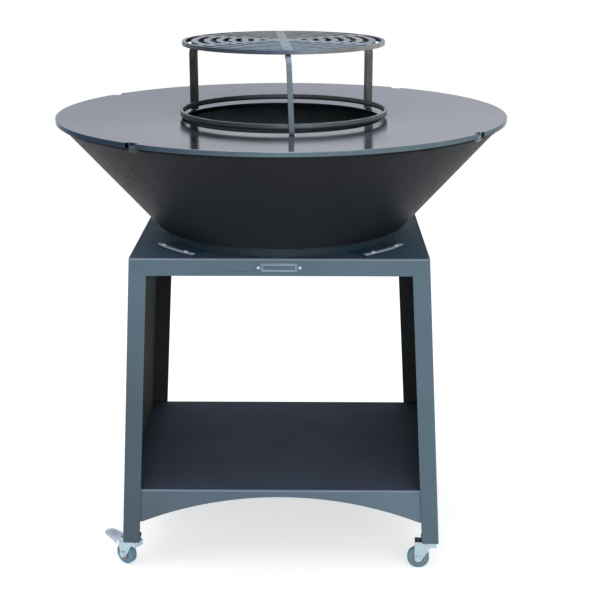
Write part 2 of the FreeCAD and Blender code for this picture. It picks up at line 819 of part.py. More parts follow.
def main():
    os.makedirs("parts", exist_ok=True)
    right_side = make_right_side()
    save("stand_top", make_stand_top())
    save("side_panel_right", right_side)
    save("side_panel_left", right_side.mirror(Vector(0, 0, 0), Vector(1, 0, 0)))
    save("shelf", make_shelf())
    save("name_plate", make_name_plate())
    save("name_plate_rivets", make_rivets())
    save("bowl_collar", make_collar())
    save("bowl_floor", make_bowl_floor())
    save("bowl_cone", make_bowl_cone())
    save("bowl_rim_ring", make_rim_ring())
    save("bowl_foot_tabs", make_foot_tabs())
    save("hold_down_strips", make_hold_down_strips())
    save("strip_screws", make_strip_screws())
    save("strip_nuts", make_strip_nuts())
    save("fire_grate", make_fire_grate())
    save("plancha_lugs", make_plancha_lugs())
    save("plancha_plate", make_plancha_plate())
    save("cooking_grid", set_down(make_grid()))
    save("riser_base_ring", set_down(make_base_ring()))
    for i, (place, lean) in enumerate((("front", front_leg_lean), ("right", 0), ("left", 0))):
        save("riser_leg_" + place, set_down(make_riser_leg(riser_turn + 360 * i / leg_count, lean)))
    save("castor_pads", at_castors(make_castor_pad()))
    save("castor_nuts", at_castors(make_castor_nut()))
    for name, side_x, side_y, heading, braked in castor_places:
        for piece_name, piece in castor_pieces(braked).items():
            placed = turn_z(piece, heading).translated(castor_centre(side_x, side_y))
            save("castor_" + name + "_" + piece_name, placed)


main()
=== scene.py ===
import json
import math

import bmesh
import bpy
from mathutils import Matrix, Vector


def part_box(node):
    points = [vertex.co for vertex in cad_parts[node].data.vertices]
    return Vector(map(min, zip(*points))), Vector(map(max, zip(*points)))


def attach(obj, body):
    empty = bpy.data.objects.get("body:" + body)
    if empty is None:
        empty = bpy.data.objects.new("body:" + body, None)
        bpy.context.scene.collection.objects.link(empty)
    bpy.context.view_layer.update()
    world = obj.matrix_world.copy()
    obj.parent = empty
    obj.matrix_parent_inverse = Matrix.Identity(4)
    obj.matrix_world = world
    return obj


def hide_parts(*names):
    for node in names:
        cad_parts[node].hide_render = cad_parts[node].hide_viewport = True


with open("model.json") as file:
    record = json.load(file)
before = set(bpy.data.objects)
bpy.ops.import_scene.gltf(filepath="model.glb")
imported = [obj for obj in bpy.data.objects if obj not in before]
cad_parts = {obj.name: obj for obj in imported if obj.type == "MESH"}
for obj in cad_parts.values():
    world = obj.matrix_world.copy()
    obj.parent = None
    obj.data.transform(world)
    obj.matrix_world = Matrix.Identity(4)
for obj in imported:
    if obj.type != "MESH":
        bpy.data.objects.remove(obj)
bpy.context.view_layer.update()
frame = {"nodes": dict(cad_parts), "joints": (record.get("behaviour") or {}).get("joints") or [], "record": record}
nodes = frame["nodes"]
joints = {joint["name"]: joint for joint in frame["joints"]}

# Camera, solved from the edges of the plate, the stand and the shelf
CAMERA_PLACE = (0.0691, -2.7998, 1.4278)
CAMERA_TILT = 0.2998
CAMERA_YAW = 0.0100
CAMERA_LENS = 74.87
CAMERA_SENSOR = 36.0

# Soft lamps: place, point that they face, width and height in metres, and level, where 1 is white
TOP_LAMP = ((-0.3, -0.4, 3.3), (0, 0, 0.9), 3.0, 3.0, 1.6)
FRONT_LAMP = ((1.2, -3.9, 1.7), (0, 0, 0.7), 4.0, 2.4, 1.8)

# Surroundings and floor: levels, where 1 is white, and the floor's side in metres
WHITE = (1, 1, 1, 1)
AMBIENT = 0.55
FLOOR_SIZE = 60.0
FLOOR_COLOUR = (0.82, 0.82, 0.82, 1)
FLOOR_ROUGHNESS = 0.9
FLOOR_GLOW = 0.55

# Rounded edges, in metres
EDGE_ROUND = 0.0006
FINE_EDGE_ROUND = 0.00035
PRESSED_EDGE_ROUND = 0.0009
ROUND_STEPS = 2

# Angles between faces, in degrees, below which they are one flat face, get no round edge or shade as one
FLAT_ANGLE = 0.02
EDGE_ANGLE = 40
SMOOTH_ANGLE = 35

# Measuring: distances in metres that count as none, decimals that are kept, and the Z of steep directions
SAME_CORNER = 1e-5
SAME_LEVEL = 1e-4
TOUCHING = 0.001
GROUP_GAP = 0.0004
FINE_DIGITS = 5
PLAN_DIGITS = 4
UPRIGHT = 0.9
DOWNWARD = -0.99

# Places where a finish changes: metres from the shelf's end, where painted shade begins, from the plate's hole and
# from its underside
SHELF_END_SHADE = 0.055
BURNT_REACH = (0.075, 0.01)
LUG_FOOT = (-0.002, 0.001)

# Painted shade on the foot of the base ring, in shares of its height
RING_FOOT = (0.22, 0.45)

# Weld beads, in metres and degrees
BEAD_RADIUS = 0.0020
FINE_BEAD_RADIUS = 0.0011
BEAD_RIPPLE = 0.0026
BEAD_STEP = 0.0007
BEAD_LEAST_STEPS = 6
BEAD_SIDES = 8
TACK_COUNT = 16
TACK_LENGTH = 0.018
TACK_PHASE = 8.5
RIM_STITCH_COUNT = 24
RIM_STITCH_LENGTH = 0.030
SHELF_STITCH_COUNT = 4
SHELF_STITCH_LENGTH = 0.030
FOOT_STITCH_TURN = 45
ARM_TIP_BEAD = (0.003, 0.015)
ARM_HEEL_BEAD = (-0.014, -0.006)

# Size of a bead in shares of its radius: middle and swing of the ripple, start and step of the tapered ends
RIPPLE_MIDDLE = 0.93
RIPPLE_SWING = 0.10
TAPER_START = 0.35
TAPER_STEP = 0.22

# Corners of screws and rivets that lie beyond this share of the radius belong to the head
HEAD_SHARE = 0.9

# Corners round a turned piece
SCREW_CORNERS = 36
RIVET_CORNERS = 32
TYRE_CORNERS = 96

# Screws: dome in degrees, the rest in shares of the shank's radius or of the head's height
SCREW_DOME = (12, 24, 36, 48, 60)
SCREW_RIM = 0.12
THREAD_CHAMFER = 0.2
SOCKET_FLATS = (1.12, 1.08)
SOCKET_DEPTH = 0.55
DRILL_POINT = (0.2, 0.6)

# Rivet head from its seat to the broken mandrel, in shares of its radius and height
RIVET_HEAD = ((1.0, 0.0), (0.96, 0.25), (0.80, 0.68), (0.58, 0.94), (0.40, 1.0), (0.30, 0.70), (0.22, 0.70),
              (0.20, 0.90), (0.08, 0.96))

# Tyre: corners of a groove in shares of the half tread, the rest in shares of the rubber's depth
GROOVE_CORNERS = (0.45, 0.53, 0.70, 0.78)
GROOVE_DEPTH = 0.10
WALL_RECESS = 0.07
WALL_OUTSIDE = 0.55
WALL_INSIDE = (0.22, 0.16)

# Steps round a quarter of a circle, in degrees
QUARTER = tuple(range(0, 91, 15))

# Name plate frames, pedal ridges and hub ribs, in metres, with the ridge's share of the pedal's width
BORDER_INSET = 0.0026
BORDER_RADIUS = 0.0004
BORDER_COUNT = 2
RIDGE_COUNT = 4
RIDGE_PITCH = 0.006
RIDGE_RADIUS = 0.0011
RIDGE_SHARE = 0.66
PEDAL_TIP = 0.002
RIB_COUNT = 6
RIB_THICKNESS = 0.0016
RIB_SINK = 0.0006


def srgb(red, green, blue):
    """A display colour, 0 to 255, as a linear colour for a shader."""
    linear = []
    for value in (red, green, blue):
        share = value / 255
        linear.append(share / 12.92 if share <= 0.04045 else ((share + 0.055) / 1.055) ** 2.4)
    return (*linear, 1.0)


def shade(colour, factor):
    """A lighter or darker copy of a linear colour."""
    return (*[min(1.0, value * factor) for value in colour[:3]], 1.0)


# Colours that lie over a finish in places
# Painted shade laid over the powder coat low down and towards the left
PAINTED_LOW_SHADE = srgb(50, 52, 64)
ASH = (srgb(108, 119, 127), srgb(128, 137, 144))
BURNT_OIL = srgb(104, 96, 92)
SHADED_EDGE = srgb(26, 44, 66)
# Painted shade on the base ring's foot; on the lugs the bowl's dark paint
FOOT_SHADE_AND_PAINT = srgb(26, 29, 33)
SOOT = srgb(34, 31, 29)
GREASE = srgb(24, 26, 29)
ROAD_DUST = srgb(150, 146, 138)

# Tint of the reflection on oiled steel
OILED_TINT = (0.60, 0.62, 0.68, 1)


# Camera, light and floor

def make_camera():
    data = bpy.data.cameras.new("photo_camera")
    data.sensor_width = CAMERA_SENSOR
    data.lens = CAMERA_LENS
    camera = bpy.data.objects.new("photo_camera", data)
    camera.location = CAMERA_PLACE
    camera.rotation_euler = (math.pi / 2 - CAMERA_TILT, 0, CAMERA_YAW)
    bpy.context.scene.collection.objects.link(camera)
    bpy.context.scene.camera = camera


def seen_directly(tree):
    """A socket that is 1 for what the camera sees, in a mirror or through glass too."""
    path = tree.nodes.new("ShaderNodeLightPath")
    found = path.outputs["Is Camera Ray"]
    for other in ("Is Glossy Ray", "Is Transmission Ray"):
        both = tree.nodes.new("ShaderNodeMath")
        both.operation = "MAXIMUM"
        tree.links.new(found, both.inputs[0])
        tree.links.new(path.outputs[other], both.inputs[1])
        found = both.outputs[0]
    return found


def make_world():
    """White to look at, and a plain grey as a source of light."""
    world = bpy.data.worlds.new("studio")
    bpy.context.scene.world = world
    world.use_nodes = True
    tree = world.node_tree
    level = tree.nodes.new("ShaderNodeMapRange")
    level.inputs["To Min"].default_value = AMBIENT
    tree.links.new(seen_directly(tree), level.inputs["Value"])
    tree.links.new(level.outputs["Result"], tree.nodes["Background"].inputs["Strength"])
    tree.nodes["Background"].inputs["Color"].default_value = WHITE


def make_lamp(name, place, target, width, height, level):
    """A soft rectangular lamp whose face shines at a level."""
    data = bpy.data.lights.new(name, "AREA")
    data.shape = "RECTANGLE"
    data.size, data.size_y = width, height
    data.energy = level * math.pi * width * height
    lamp = bpy.data.objects.new(name, data)
    lamp.location = place
    lamp.rotation_euler = (Vector(target) - Vector(place)).to_track_quat("-Z", "Y").to_euler()
    lamp.visible_camera = False
    bpy.context.scene.collection.objects.link(lamp)


def make_floor():
    """A pale floor that looks white in the light and keeps the object's shadow."""
    mesh = bpy.data.meshes.new("floor")
    half = FLOOR_SIZE / 2
    corner_places = [(-half, -half, 0), (half, -half, 0), (half, half, 0), (-half, half, 0)]
    mesh.from_pydata(corner_places, [], [(0, 1, 2, 3)])
    floor = bpy.data.objects.new("floor", mesh)
    bpy.context.scene.collection.objects.link(floor)
    material = bpy.data.materials.new("floor_white")
    material.use_nodes = True
    tree = material.node_tree
    shader = tree.nodes["Principled BSDF"]
    shader.inputs["Base Color"].default_value = FLOOR_COLOUR
    shader.inputs["Roughness"].default_value = FLOOR_ROUGHNESS
    shader.inputs["Specular IOR Level"].default_value = 0.0
    shader.inputs["Emission Color"].default_value = WHITE
    glow = tree.nodes.new("ShaderNodeMath")
    glow.operation = "MULTIPLY"
    glow.inputs[1].default_value = FLOOR_GLOW
    tree.links.new(seen_directly(tree), glow.inputs[0])
    tree.links.new(glow.outputs[0], shader.inputs["Emission Strength"])
    mesh.materials.append(material)


# Materials

class Finish:
    """A material in the making: each call adds nodes and hands back the socket to use next."""

    def __init__(self, name, metallic=0.0, specular=0.5):
        self.material = bpy.data.materials.new(name)
        self.material.use_nodes = True
        self.tree = self.material.node_tree
        self.shader = self.tree.nodes["Principled BSDF"]
        self.shader.inputs["Metallic"].default_value = metallic
        self.shader.inputs["Specular IOR Level"].default_value = specular
        coordinates = self.node("ShaderNodeTexCoord")
        self.place = coordinates.outputs["Object"]
        self.facing = coordinates.outputs["Normal"]

    def node(self, kind, inputs=None, **settings):
        """Adds a node, and hands back the node itself."""
        made = self.tree.nodes.new(kind)
        for name, value in settings.items():
            setattr(made, name, value)
        for key, value in (inputs or {}).items():
            self.feed(made.inputs[key], value)
        return made

    def feed(self, socket, value):
        """Links a socket, or sets it to a plain value."""
        if isinstance(value, bpy.types.NodeSocket):
            self.tree.links.new(value, socket)
        else:
            socket.default_value = value

    def math(self, operation, first, second=0.0):
        return self.node("ShaderNodeMath", {0: first, 1: second}, operation=operation).outputs[0]

    def times(self, first, second):
        return self.math("MULTIPLY", first, second)

    def span(self, value, low, high, to_low=0.0, to_high=1.0):
        """A value's way from low to high, turned into another range and held at its ends."""
        inputs = {"Value": value, "From Min": low, "From Max": high, "To Min": to_low, "To Max": to_high}
        return self.node("ShaderNodeMapRange", inputs).outputs["Result"]

    def spread(self, noise, to_low=0.0, to_high=1.0):
        """A noise, most of which lies near its middle, spread over a range."""
        return self.span(noise, 0.3, 0.7, to_low, to_high)

    def mix(self, share, first, second):
        return self.node("ShaderNodeMix", {0: share, 6: first, 7: second}, data_type="RGBA").outputs[2]

    def noise(self, scale, detail, vector=None):
        inputs = {"Vector": vector or self.place, "Scale": scale, "Detail": detail}
        return self.node("ShaderNodeTexNoise", inputs).outputs["Fac"]

    def stretched(self, scale):
        """The place on the object, scaled unevenly to make a noise streaky or to leave out the height."""
        inputs = {0: self.place, 1: scale}
        return self.node("ShaderNodeVectorMath", inputs, operation="MULTIPLY").outputs["Vector"]

    def dot(self, first, second):
        inputs = {0: first, 1: second}
        return self.node("ShaderNodeVectorMath", inputs, operation="DOT_PRODUCT").outputs["Value"]

    def axis(self, name, vector=None):
        return self.node("ShaderNodeSeparateXYZ", {0: vector or self.place}).outputs[name]

    def radius(self):
        """Distance from the vertical axis of the object."""
        inputs = {0: self.stretched((1, 1, 0))}
        return self.node("ShaderNodeVectorMath", inputs, operation="LENGTH").outputs["Value"]

    def inward(self):
        """About 1 on faces that look towards the vertical axis and 0 on the others."""
        return self.span(self.dot(self.facing, self.stretched((1, 1, 0))), -0.02, -0.08)

    def upward(self):
        """About 1 on level faces that look up and 0 on the others."""
        return self.span(self.axis("Z", self.facing), 0.5, 0.9)

    def bends(self):
        """About 1 on slanting faces that look up and forward or back, as a fold does, and 0 on the others; a
        painted highlight goes there.
        """
        rise = self.axis("Z", self.facing)
        slant = self.times(self.span(rise, 0.10, 0.30), self.span(rise, 0.99, 0.95))
        aside = self.math("ABSOLUTE", self.axis("X", self.facing))
        return self.times(slant, self.span(aside, 0.30, 0.15))

    def rubbed(self, tone, radius, share, bright):
        """A tone whose edges are rubbed bright in broken patches."""
        rounded = self.node("ShaderNodeBevel", {"Radius": radius}, samples=4).outputs["Normal"]
        plain = self.node("ShaderNodeNewGeometry").outputs["True Normal"]
        edge = self.span(self.dot(rounded, plain), 0.99, 0.80)
        worn = self.times(edge, self.span(self.noise(90, 4), 0.35, 0.75))
        return self.mix(self.times(worn, share), tone, bright)

    def done(self, colour, roughness, height, depth):
        """Joins colour, roughness and a bump of some depth to the shader."""
        bump = self.node("ShaderNodeBump", {"Height": height, "Distance": depth, "Strength": 1.0})
        self.feed(self.shader.inputs["Base Color"], colour)
        self.feed(self.shader.inputs["Roughness"], roughness)
        self.feed(self.shader.inputs["Normal"], bump.outputs["Normal"])
        return self.material


def powder_coat(name, colour, inside, level, bend_highlight, specular=0.3, gloss=0.42, shaded_ends=None):
    """Satin powder coat: orange peel, painted shade below, to the left and at the ends, painted shade on level and
    inner faces, which are duller too, and a painted highlight on folds.
    """
    finish = Finish(name, specular=specular)
    cloud = finish.spread(finish.noise(7, 4))
    tone = finish.mix(cloud, shade(colour, 0.94), shade(colour, 1.05))
    # Painted shade: darker towards the bottom and towards the left
    shade_leftward = finish.span(finish.axis("X"), 0.35, -0.35, 0.10, 0.45)
    low_left_shade_share = finish.times(finish.span(finish.axis("Z"), 0.66, 0.40), shade_leftward)
    tone = finish.mix(low_left_shade_share, tone, PAINTED_LOW_SHADE)
    speck = finish.span(finish.noise(1500, 1), 0.62, 0.75, 0.0, 0.20)
    tone = finish.mix(speck, tone, shade(colour, 1.3))
    # Level faces take the level colour: a darker copy of the paint as painted shade, under the bowl and under the
    # stand top
    flat = finish.mix(cloud, shade(level, 0.92), shade(level, 1.08))
    # Painted shade on the level faces near the shelf's ends, beside the side panels
    if shaded_ends:
        sideways = finish.math("ABSOLUTE", finish.axis("X"))
        flat = finish.mix(finish.span(sideways, *shaded_ends, 0.0, 0.7), flat, shade(level, 0.25))
    tone = finish.mix(finish.upward(), tone, flat)
    # Painted shade on faces turned inward, lighter towards the right and darkest on the left panel's inner face
    inside_shade = finish.mix(finish.span(finish.axis("X"), -0.3, 0.3), shade(inside, 1.1), shade(inside, 1.8))
    inside_shade = finish.mix(finish.span(finish.axis("X", finish.facing), 0.3, 0.7), inside_shade, shade(inside, 0.60))
    tone = finish.mix(finish.inward(), tone, inside_shade)
    # Painted highlight on the folds
    tone = finish.mix(finish.bends(), tone, bend_highlight)
    tone = finish.rubbed(tone, 0.0022, 0.40, shade(colour, 1.7))
    sheen = finish.spread(finish.noise(25, 5), gloss - 0.05, gloss + 0.06)
    dull = finish.math("MAXIMUM", finish.times(finish.upward(), 0.28), finish.times(finish.inward(), 0.50))
    sheen = finish.math("ADD", sheen, dull)
    return finish.done(tone, sheen, finish.noise(650, 2), 0.00010)


def heat_paint(name, colour, hot):
    """Matt heat-proof paint on the bowl, browned a little by the hot rim, with soot and ash inside."""
    finish = Finish(name, specular=0.07)
    streaks = finish.noise(6, 4, finish.stretched((1, 1, 0.3)))
    tone = finish.mix(finish.spread(streaks), shade(colour, 0.95), shade(colour, 1.06))
    grain = finish.span(finish.noise(2200, 1), 0.55, 0.8, 0.0, 0.25)
    tone = finish.mix(grain, tone, shade(colour, 1.5))
    near_rim = finish.span(finish.axis("Z"), 0.84, 0.99, 0.0, 0.6)
    heat = finish.times(near_rim, finish.span(streaks, 0.2, 0.8))
    tone = finish.mix(heat, tone, hot)
    tone = finish.rubbed(tone, 0.0025, 0.35, shade(colour, 4.0))
    ash = finish.mix(finish.spread(finish.noise(14, 5)), *ASH)
    tone = finish.mix(finish.inward(), tone, ash)
    sheen = finish.spread(finish.noise(60, 4), 0.46, 0.56)
    return finish.done(tone, sheen, finish.noise(1100, 2), 0.00008)


def plancha_steel(name, colour, right, edge, hole_radius):
    """Oiled, turned plate steel: fine rings round the hole, a hazy oil film, painted light towards the right and a
    darker cut edge with painted shade towards the left.
    """
    finish = Finish(name, metallic=1.0)
    finish.shader.inputs["Specular Tint"].default_value = OILED_TINT
    radius = finish.radius()
    ring_place = finish.node("ShaderNodeCombineXYZ", {"X": radius}).outputs[0]
    rings = finish.noise(1400, 3, ring_place)
    broad = finish.noise(60, 4, ring_place)
    haze = finish.noise(5, 5)
    # Painted light: the plate lighter towards the right
    light_rightward = finish.span(finish.axis("X"), -0.5, 0.5)
    tone = finish.mix(light_rightward, shade(colour, 1.02), right)
    tone = finish.mix(finish.spread(haze, 0.0, 0.12), tone, shade(colour, 0.6))
    tone = finish.mix(finish.span(rings, 0.35, 0.65, 0.0, 0.35), tone, shade(colour, 0.80))
    tone = finish.mix(finish.span(broad, 0.4, 0.7, 0.0, 0.25), tone, shade(colour, 1.18))
    clear, burnt = [hole_radius + reach for reach in BURNT_REACH]
    near_hole = finish.span(radius, clear, burnt, 0.0, 0.30)
    tone = finish.mix(finish.times(near_hole, finish.spread(finish.noise(12, 5))), tone, BURNT_OIL)
    scale = finish.spread(finish.noise(45, 5))
    cut_edge = finish.mix(finish.times(scale, 0.3), edge, shade(edge, 0.5))
    # Painted shade on the cut edge towards the left
    shade_leftward = finish.span(finish.axis("X"), 0.0, -0.30, 0.0, 0.88)
    cut_edge = finish.mix(shade_leftward, cut_edge, SHADED_EDGE)
    tone = finish.mix(finish.upward(), cut_edge, tone)
    sheen = finish.spread(haze, 0.10, 0.17)
    return finish.done(tone, sheen, rings, 0.000006)


def mill_steel(name, colour, side, right=None, rear_reflection=None, soot=0.0, metallic=0.85, dark_foot=None):
    """Bare rolled steel: blue-grey scale, darker cut sides with painted shade to the left and painted light to the
    right, rubbed edges, scratches, maybe a dark foot.
    """
    finish = Finish(name, metallic=metallic)
    patches = finish.noise(38, 6)
    # Painted light and shade: sides dark on the left and light on the right
    light_rightward = finish.span(finish.axis("X"), -0.2, 0.2)
    side_light_and_shade = finish.mix(light_rightward, shade(side, 0.25), shade(side, 1.5))
    # Painted light on the grid's right end and painted shade on the walls of its slots
    if right:
        lit_right_end = finish.mix(finish.span(finish.axis("X"), 0.02, 0.18), side_light_and_shade, right)
        side_light_and_shade = finish.mix(finish.inward(), lit_right_end, shade(side, 0.3))
    level = colour
    # Painted reflection on level faces: bluish sky at the front turning warm grey towards the back
    if rear_reflection:
        level = finish.mix(finish.span(finish.axis("Y"), -0.06, 0.08), colour, rear_reflection)
    tone = finish.mix(finish.upward(), side_light_and_shade, level)
    tone = finish.mix(finish.span(patches, 0.35, 0.65, 0.0, 0.35), tone, shade(side, 0.6))
    scratches = finish.noise(420, 2, finish.stretched((1, 1, 0.06)))
    tone = finish.mix(finish.span(scratches, 0.6, 0.75, 0.0, 0.25), tone, shade(colour, 1.5))
    tone = finish.rubbed(tone, 0.0012, 0.35, shade(colour, 1.6))
    burnt = finish.times(finish.span(finish.noise(22, 5), 0.35, 0.65), soot)
    tone = finish.mix(burnt, tone, SOOT)
    # A dark foot: painted shade on the base ring, the bowl's dark paint on the lugs
    if dark_foot:
        dark_z, clear_z = dark_foot
        foot = finish.span(finish.axis("Z"), clear_z, dark_z, 0.0, 0.9)
        tone = finish.mix(foot, tone, FOOT_SHADE_AND_PAINT)
    sheen = finish.spread(patches, 0.32, 0.46)
    return finish.done(tone, sheen, finish.noise(900, 3), 0.00006)


def zinc_plate(name, colour, roughness=0.30, metallic=1.0, grease=0.0):
    """Zinc plate: faint crystal patches, a little dull bloom, rubbed edges and maybe old grease on top."""
    finish = Finish(name, metallic=metallic)
    cells = finish.node("ShaderNodeTexVoronoi", {"Vector": finish.place, "Scale": 420.0})
    tone = finish.mix(finish.axis("X", cells.outputs["Color"]), shade(colour, 0.96), shade(colour, 1.04))
    bloom = finish.span(finish.noise(160, 5), 0.45, 0.75, 0.0, 0.3)
    tone = finish.mix(bloom, tone, shade(colour, 0.80))
    tone = finish.rubbed(tone, 0.0008, 0.5, shade(colour, 1.2))
    if grease:
        tone = finish.mix(finish.times(finish.upward(), grease), tone, GREASE)
    sheen = finish.spread(finish.noise(240, 4), roughness - 0.06, roughness + 0.10)
    return finish.done(tone, sheen, finish.noise(1300, 2), 0.00003)


def moulded(name, colour, roughness, grain, depth, dirt=0.25):
    """Moulded plastic or rubber: fine grain, faint flow marks and grey road dust."""
    finish = Finish(name, specular=0.45)
    flow = finish.noise(70, 4)
    tone = finish.mix(finish.spread(flow), shade(colour, 0.88), shade(colour, 1.10))
    dust = finish.span(finish.noise(260, 6), 0.48, 0.72, 0.0, dirt)
    tone = finish.mix(dust, tone, ROAD_DUST)
    sheen = finish.spread(flow, roughness - 0.05, roughness + 0.08)
    return finish.done(tone, sheen, finish.noise(grain, 2), depth)


def weld_metal(name, colour):
    """Weld metal: bright ripples between dull patches."""
    finish = Finish(name, metallic=0.9)
    tone = finish.mix(finish.span(finish.noise(520, 4), 0.35, 0.65), shade(colour, 0.6), shade(colour, 1.25))
    sheen = finish.spread(finish.noise(300, 3), 0.30, 0.48)
    return finish.done(tone, sheen, finish.noise(1500, 3), 0.00006)


def make_finishes():
    """All finishes by key: one for each slot, those that finish_key gives to nodes, and weld metal."""
    ring_low, ring_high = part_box("riser_base_ring")
    hole = (ring_high.y - ring_low.y) / 2
    ring_foot = [ring_low.z + share * (ring_high.z - ring_low.z) for share in RING_FOOT]
    plate_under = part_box("plancha_plate")[0].z
    lug_foot = [plate_under + offset for offset in LUG_FOOT]
    shelf_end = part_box("shelf")[1].x
    stand, stand_inside_shade = srgb(88, 112, 126), srgb(44, 46, 47)
    bowl, hot = srgb(29, 33, 39), srgb(42, 40, 40)
    stand_fold_highlight, tag = srgb(142, 153, 169), srgb(88, 108, 122)
    shelf, shelf_fold_highlight = srgb(111, 131, 147), srgb(125, 148, 165)
    collar, tab = srgb(44, 60, 71), srgb(49, 72, 92)
    zinc = srgb(176, 196, 208)
    return {
        # Stand: the level colour is painted shade under the bowl, the inside colour painted shade, the fold colour
        # a painted highlight
        "stand_paint": powder_coat("stand_powder_coat", stand, stand_inside_shade, srgb(63, 91, 113), stand_fold_highlight),
        # Shelf: the stand's paint with weaker sheen, its base lighter as painted light, painted shade on level
        # faces and at the ends
        "shelf": powder_coat("shelf_powder_coat", shelf, stand_inside_shade, srgb(66, 75, 91), shelf_fold_highlight,
                             specular=0.15, gloss=0.55,
                             shaded_ends=(shelf_end - SHELF_END_SHADE, shelf_end)),
        # Collar and foot tabs: the stand's paint written darker as painted shade under the bowl
        "collar": powder_coat("collar_coat_painted_shade", collar, stand_inside_shade, collar, collar,
                              specular=0.15, gloss=0.55),
        "tab": powder_coat("tab_coat_painted_shade", tab, tab, tab, tab, specular=0.12, gloss=0.6),
        "bowl_paint": heat_paint("bowl_heat_paint", bowl, hot),
        # Plate: the second colour is painted light towards the right
        "plancha_steel": plancha_steel("plancha_turned_steel", srgb(116, 122, 132), srgb(171, 167, 174),
                                       srgb(100, 119, 128), hole),
        "raw_steel": mill_steel("riser_mill_steel", srgb(94, 100, 105), srgb(86, 86, 84)),
        # Grid: the bluish front and warm grey rear are painted reflection, the right colour painted light
        "grid": mill_steel("grid_mill_steel", srgb(99, 124, 150), srgb(76, 89, 103),
                           right=srgb(146, 146, 138), rear_reflection=srgb(113, 113, 118)),
        # Front leg: a lighter bluish copy of the riser steel, painted reflection of the sky
        "front_leg_painted_sheen": mill_steel("leg_steel_painted_sheen", srgb(116, 132, 150), srgb(100, 112, 122), metallic=0.5),
        "lugs": mill_steel("lug_bare_steel", srgb(104, 118, 130), srgb(98, 112, 124), metallic=0.5,
                           dark_foot=lug_foot),
        "ring": mill_steel("ring_mill_steel", srgb(94, 104, 110), srgb(94, 102, 106), dark_foot=ring_foot),
        "grate": mill_steel("grate_burnt_steel", srgb(70, 68, 66), srgb(60, 58, 56), soot=0.8),
        "zinc": zinc_plate("bright_zinc", zinc),
        "fork": zinc_plate("fork_zinc", zinc, grease=0.7),
        "strip_zinc": zinc_plate("dull_zinc", srgb(200, 211, 224), roughness=0.42, metallic=0.3),
        "plate_tag": powder_coat("tag_coat", tag, stand_inside_shade, tag, stand_fold_highlight),
        "pedal_steel": zinc_plate("pedal_zinc", srgb(196, 203, 222), roughness=0.36, metallic=0.4),
        "hub_plastic": moulded("hub_moulding", srgb(140, 148, 146), roughness=0.42, grain=1500,
                               depth=0.00004),
        "bush": moulded("bush_moulding", srgb(150, 100, 60), roughness=0.40, grain=1500, depth=0.00003),
        "tyre": moulded("tyre_rubber", srgb(98, 146, 166), roughness=0.55, grain=1200, depth=0.00008,
                        dirt=0.45),
        "weld": weld_metal("weld_bead", srgb(120, 126, 132)),
    }


# The node's own finish where it differs from that of its slot
OWN_FINISH = {"shelf": "shelf", "fire_grate": "grate", "cooking_grid": "grid", "bowl_collar": "collar",
              "hold_down_strips": "strip_zinc", "plancha_lugs": "lugs", "riser_leg_front": "front_leg_painted_sheen",
              "bowl_foot_tabs": "tab", "riser_base_ring": "ring"}


def finish_key(name, slot):
    if name.endswith("_fork"):
        return "fork"
    return OWN_FINISH.get(name, slot)


def edge_width(name):
    if name.endswith(("_fork", "_pedal")):
        return PRESSED_EDGE_ROUND
    if name.startswith(("castor", "strip", "name", "hold")):
        return FINE_EDGE_ROUND
    return EDGE_ROUND


def round_edges(piece, width):
    weld = piece.modifiers.new("join_corners", "WELD")
    weld.merge_threshold = SAME_CORNER
    flat = piece.modifiers.new("flat_faces", "DECIMATE")
    flat.decimate_type = "DISSOLVE"
    flat.angle_limit = math.radians(FLAT_ANGLE)
    bevel = piece.modifiers.new("round_edges", "BEVEL")
    bevel.width = width
    bevel.segments = ROUND_STEPS
    bevel.limit_method = "ANGLE"
    bevel.angle_limit = math.radians(EDGE_ANGLE)
    bevel.use_clamp_overlap = False
    normals = piece.modifiers.new("even_shading", "WEIGHTED_NORMAL")
    normals.keep_sharp = False


def dress_nodes(finishes):
    """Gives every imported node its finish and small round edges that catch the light."""
    for subpart in frame["record"]["subparts"]:
        node = nodes[subpart["node"]]
        key = finish_key(node.name, subpart["material_slot"])
        node.material_slots[0].material = finishes[key]
        round_edges(node, edge_width(node.name))


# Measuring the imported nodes

def islands(name):
    """The corners of each separate solid of a node."""
    mesh = nodes[name].data
    places = [tuple(round(value, FINE_DIGITS) for value in vertex.co) for vertex in mesh.vertices]
    group = {place: place for place in places}

    def root(place):
        while group[place] != place:
            place = group[place]
        return place

    for polygon in mesh.polygons:
        first = root(places[polygon.vertices[0]])
        for index in polygon.vertices[1:]:
            group[root(places[index])] = first
    solids = {}
    for place in group:
        solids.setdefault(root(place), []).append(Vector(place))
    return list(solids.values())


def corners(points):
    """Lowest and highest corner of some points."""
    lowest = Vector([min(point[i] for point in points) for i in range(3)])
    highest = Vector([max(point[i] for point in points) for i in range(3)])
    return lowest, highest


def steps(values):
    """The distinct sizes among some values, to a hundredth of a millimetre, from small to large."""
    return sorted({round(value, FINE_DIGITS) for value in values})


def close_groups(values):
    """Sorted values in groups that lie apart."""
    groups = []
    for value in sorted(values):
        if not groups or value - groups[-1][-1] > GROUP_GAP:
            groups.append([])
        groups[-1].append(value)
    return groups


def joint_frame(name):
    """A matrix whose Z runs along a joint's axis, with its X level."""
    z = Vector(joints[name]["axis"]).normalized()
    x = Vector((z.y, -z.x, 0)).normalized() if abs(z.z) < UPRIGHT else Vector((1, 0, 0))
    turn = Matrix((x, z.cross(x), z)).transposed().to_4x4()
    return Matrix.Translation(joints[name]["pos_m"]) @ turn


def seen_from(place, name):
    """A node's corners in the local space of a matrix."""
    inverse = place.inverted()
    return [inverse @ vertex.co for vertex in nodes[name].data.vertices]


def polar(radius, degrees, z):
    """A point at an angle from the front counted towards +X."""
    turn = math.radians(degrees)
    return Vector((radius * math.sin(turn), -radius * math.cos(turn), z))


# Making pieces

